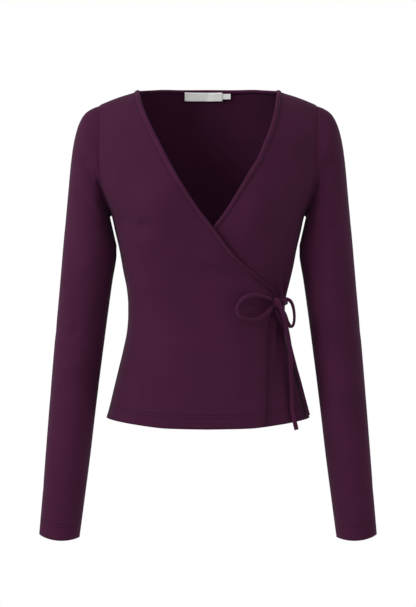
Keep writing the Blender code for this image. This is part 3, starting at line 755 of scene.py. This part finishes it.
class WRAPTOP_OT_panels(bpy.types.Operator):
    """Builds both fronts, the back and their neck bindings"""

    bl_idname = "wraptop.panels"
    bl_label = "Fronts, back and bindings"

    def execute(self, context):
        tones = context.scene.wraptop_colors
        dark, light = tuple(tones.dark), tuple(tones.light)
        body = jersey("Plum jersey", dark, light, HEM_STITCHES, NECK_STITCHES)
        back_cloth = jersey("Plum jersey back", dark, light, HEM_STITCHES)
        # The binding's light tone is 1.15 times the jersey's: a painted highlight along the rolled neck edge,
        # on the same cloth
        band = jersey("Plum binding, painted highlight", dark, tuple(1.15 * c for c in light), rib=0.6)
        for name, edge, sign, lift, flip, short in (
            ("over", OVER_EDGE, -1, over_lift_fine, False, 0),
            ("under", UNDER_EDGE, 1, under_lift_fine, True, UNDER_BINDING_SHORT),
        ):
            grid = front_grid(edge, sign, lift)
            run, up = along_rows(grid), above_hem(grid)
            maps = {"cloth": np.stack([run, up], -1), "edge": np.stack([run[:, -1:] - run, up], -1)}
            node = "front_" + name
            obj = done(cloth(node + "_jersey", grid, body, flip, maps=maps), "jersey", node)
            out = grid_out(grid, flip)
            out[0, :, 1] = 0
            rows = int((grid[:, -1, 2] > KNOT_HEIGHT + ABOVE_KNOT + short).sum())
            lines = grid[:rows, -1], grid[:rows, -2], out[:rows, -1], out[:rows, -2]
            strip = rolled_binding("neck_binding_" + name, *lines, band, flip)
            done(strip, "binding", "binding_" + name)
        grid, neck = back_grid()
        run, up = along_rows(grid), above_hem(grid)
        maps = {"cloth": np.stack([run, up], -1), "edge": np.stack([run + NO_NECK_EDGE, up], -1)}
        obj = done(cloth("back_jersey", grid, back_cloth, True, maps=maps), "jersey", "back")
        out = grid_out(grid, True)
        edge, edge_out = grid[0, neck], out[1, neck]
        inner = np.array([spread_to(grid[:BACK_BINDING_ROWS, j], BINDING) for j in neck])
        strip = rolled_binding("neck_binding_back", edge, inner, edge_out, edge_out, band, True)
        done(strip, "binding", "binding_back")
        return {"FINISHED"}


class WRAPTOP_OT_sleeves(bpy.types.Operator):
    """Builds both long sleeves"""

    bl_idname = "wraptop.sleeves"
    bl_label = "Sleeves"

    def execute(self, context):
        tones = context.scene.wraptop_colors
        made_of = jersey("Plum jersey sleeve", tuple(tones.dark), tuple(tones.light), CUFF_STITCHES)
        for name, sign in (("sleeve_right", -1), ("sleeve_left", 1)):
            grid = fine_sleeve(sign)
            run = along_rows(grid)
            down = run_along(grid)
            away = np.stack([run + NO_NECK_EDGE, down], -1)
            maps = {"cloth": np.stack([run, down[-1] - down], -1), "edge": away}
            obj = done(cloth(name + "_jersey", grid, made_of, sign < 0, True, maps=maps), "jersey", name)
        return {"FINISHED"}


class WRAPTOP_OT_bow(bpy.types.Operator):
    """Builds the bow: its two loops, two tails, the lead from the side seam and the knot"""

    bl_idname = "wraptop.bow"
    bl_label = "Bow"

    def execute(self, context):
        tones = context.scene.wraptop_colors
        # The strap's light tone is 1.1 times the jersey's: a painted highlight on the bow's loops, tails and
        # knot, on the same cloth
        made_of = jersey("Plum strap, painted highlight", tuple(tones.dark), tuple(1.1 * c for c in tones.light), rib=0.5)
        done(knot(made_of), "jersey", "tie_knot")
        for name, route in STRAPS.items():
            obj, middle, long = strap(name + "_strap", route, made_of)
            done(obj, "jersey", name)
            tuple(middle[0] * MM)
            long * MM
            [tuple(p * MM) for p in middle]
        return {"FINISHED"}


class WRAPTOP_OT_labels(bpy.types.Operator):
    """Lays the two plain labels inside the back neck"""

    bl_idname = "wraptop.labels"
    bl_label = "Labels"

    def execute(self, context):
        made_of = woven_white("White woven label")
        for name, place_at in (("label_main", LABEL), ("label_size", SIZE_TAB)):
            obj = done(label(name + "_woven", place_at, made_of), "label", name)
        return {"FINISHED"}


class WRAPTOP_OT_stage(bpy.types.Operator):
    """Sets the camera, the lights, the white surroundings and the pale floor"""

    bl_idname = "wraptop.stage"
    bl_label = "Stage"

    def light(self, name, place_at, size, power):
        data = bpy.data.lights.new(name, "AREA")
        data.size, data.energy = size, power
        lamp = bpy.data.objects.new(name, data)
        lamp.location = place_at
        aim = Vector((0, 0, EYE["height"])) - lamp.location
        lamp.rotation_euler = aim.to_track_quat("-Z", "Y").to_euler()
        bpy.context.scene.collection.objects.link(lamp)

    def execute(self, context):
        power = context.scene.wraptop_lights
        scene = context.scene
        lens = bpy.data.cameras.new("Camera")
        lens.lens, lens.sensor_width = EYE["lens"], EYE["sensor"]
        eye = bpy.data.objects.new("Camera", lens)
        eye.location = (0, -EYE["away"], EYE["height"])
        eye.rotation_euler = (math.pi / 2, 0, 0)
        scene.collection.objects.link(eye)
        scene.camera = eye
        self.light("Key", (-2.4, -1.5, 1.3), 1.4, power.key)
        self.light("Fill", (2.2, -1.6, 0.2), 1.6, power.fill)
        world = bpy.data.worlds.new("White surroundings")
        world.use_nodes = True
        world.node_tree.nodes["Background"].inputs["Color"].default_value = (1, 1, 1, 1)
        world.node_tree.nodes["Background"].inputs["Strength"].default_value = power.sky
        scene.world = world
        scene.view_settings.view_transform = "Standard"
        mesh = bpy.data.meshes.new("Floor")
        corners = [(x * FLOOR["half"], y * FLOOR["half"], FLOOR["height"]) for x, y in SQUARE]
        mesh.from_pydata(corners, [], [(0, 1, 2, 3)])
        floor = bpy.data.objects.new("Floor", mesh)
        shade = Shade("Pale floor")
        shade.set(Base_Color=(0.85, 0.85, 0.85, 1), Roughness=0.9)
        mesh.materials.append(shade.made)
        scene.collection.objects.link(floor)
        return {"FINISHED"}


class WRAPTOP_PT_sidebar(bpy.types.Panel):
    """The wrap top's settings and builders"""

    bl_idname = "WRAPTOP_PT_sidebar"
    bl_label = "Wrap top"
    bl_space_type = "VIEW_3D"
    bl_region_type = "UI"
    bl_category = "Wrap top"

    def draw(self, context):
        layout = self.layout
        for group in (context.scene.wraptop_colors, context.scene.wraptop_lights):
            for name in group.bl_rna.properties.keys()[2:]:
                layout.prop(group, name)
        for operator in OPERATORS:
            layout.operator(operator.bl_idname)


OPERATORS = (WRAPTOP_OT_stage, WRAPTOP_OT_panels, WRAPTOP_OT_sleeves, WRAPTOP_OT_bow, WRAPTOP_OT_labels)
CLASSES = (WRAPTOP_colors, WRAPTOP_lights, *OPERATORS, WRAPTOP_PT_sidebar)


def register():
    for made in CLASSES:
        bpy.utils.register_class(made)
    bpy.types.Scene.wraptop_colors = bpy.props.PointerProperty(type=WRAPTOP_colors)
    bpy.types.Scene.wraptop_lights = bpy.props.PointerProperty(type=WRAPTOP_lights)


def unregister():
    del bpy.types.Scene.wraptop_lights
    del bpy.types.Scene.wraptop_colors
    for made in reversed(CLASSES):
        bpy.utils.unregister_class(made)


def main():
    register()
    bpy.ops.wraptop.stage()
    bpy.ops.wraptop.panels()
    bpy.ops.wraptop.sleeves()
    bpy.ops.wraptop.bow()
    bpy.ops.wraptop.labels()


if __name__ == "__main__":
    main()
